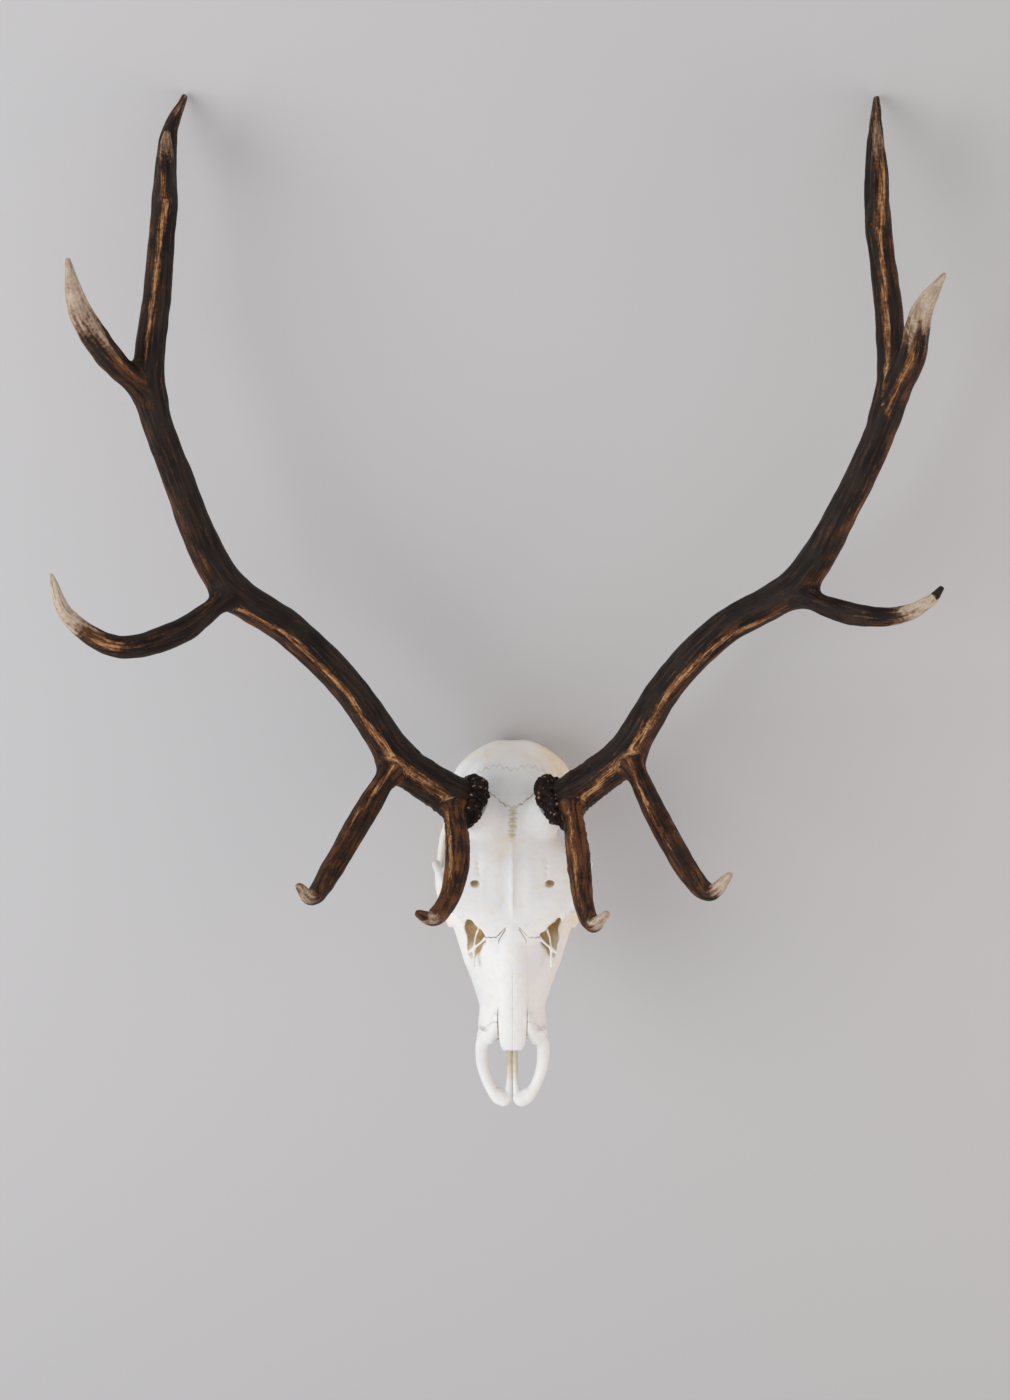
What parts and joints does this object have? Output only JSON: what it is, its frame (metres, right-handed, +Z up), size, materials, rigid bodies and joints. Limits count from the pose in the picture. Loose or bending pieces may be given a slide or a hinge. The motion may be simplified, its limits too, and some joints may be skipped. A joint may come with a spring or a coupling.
{
  "type": "elk skull with antlers",
  "caption": "Bleached elk skull without its lower jaw, with both branching dark antlers, lying on the back of the skull and the antler tips.",
  "frame": {"origin": "centre of the footprint, on the floor that the part lies on", "axes": "+Y from the nose towards the antler tips, +Z up, +X towards the animal's left side"},
  "size_m": [0.9699, 1.2085, 0.4149],
  "materials": {
    "bone": "bleached dry bone, white with cream in the sutures",
    "tooth": "worn cream enamel with brown cusps",
    "antler": "dark brown grooved antler with polished tan ridges and ivory tips"
  },
  "bodies": {
    "root": {"braincase": "bone", "forehead": "bone", "upper_jaw": "bone", "nasal_bone_right": "bone", "nasal_bone_left": "bone", "premaxilla_right": "bone", "premaxilla_left": "bone", "cheek_arch_right": "bone", "cheek_arch_left": "bone", "cheek_teeth_right": "tooth", "cheek_teeth_left": "tooth", "antler_right_burr": "antler", "antler_right_beam_base": "antler", "antler_right_beam_lower": "antler", "antler_right_beam_middle": "antler", "antler_right_beam_upper": "antler", "antler_right_beam_tip": "antler", "antler_right_brow_tine": "antler", "antler_right_bez_tine": "antler", "antler_right_trez_tine": "antler", "antler_right_royal_tine": "antler", "antler_right_crown_tine": "antler", "antler_left_burr": "antler", "antler_left_beam_base": "antler", "antler_left_beam_lower": "antler", "antler_left_beam_middle": "antler", "antler_left_beam_upper": "antler", "antler_left_beam_tip": "antler", "antler_left_brow_tine": "antler", "antler_left_bez_tine": "antler", "antler_left_trez_tine": "antler", "antler_left_royal_tine": "antler", "antler_left_crown_tine": "antler"}
  },
  "joints": []
}
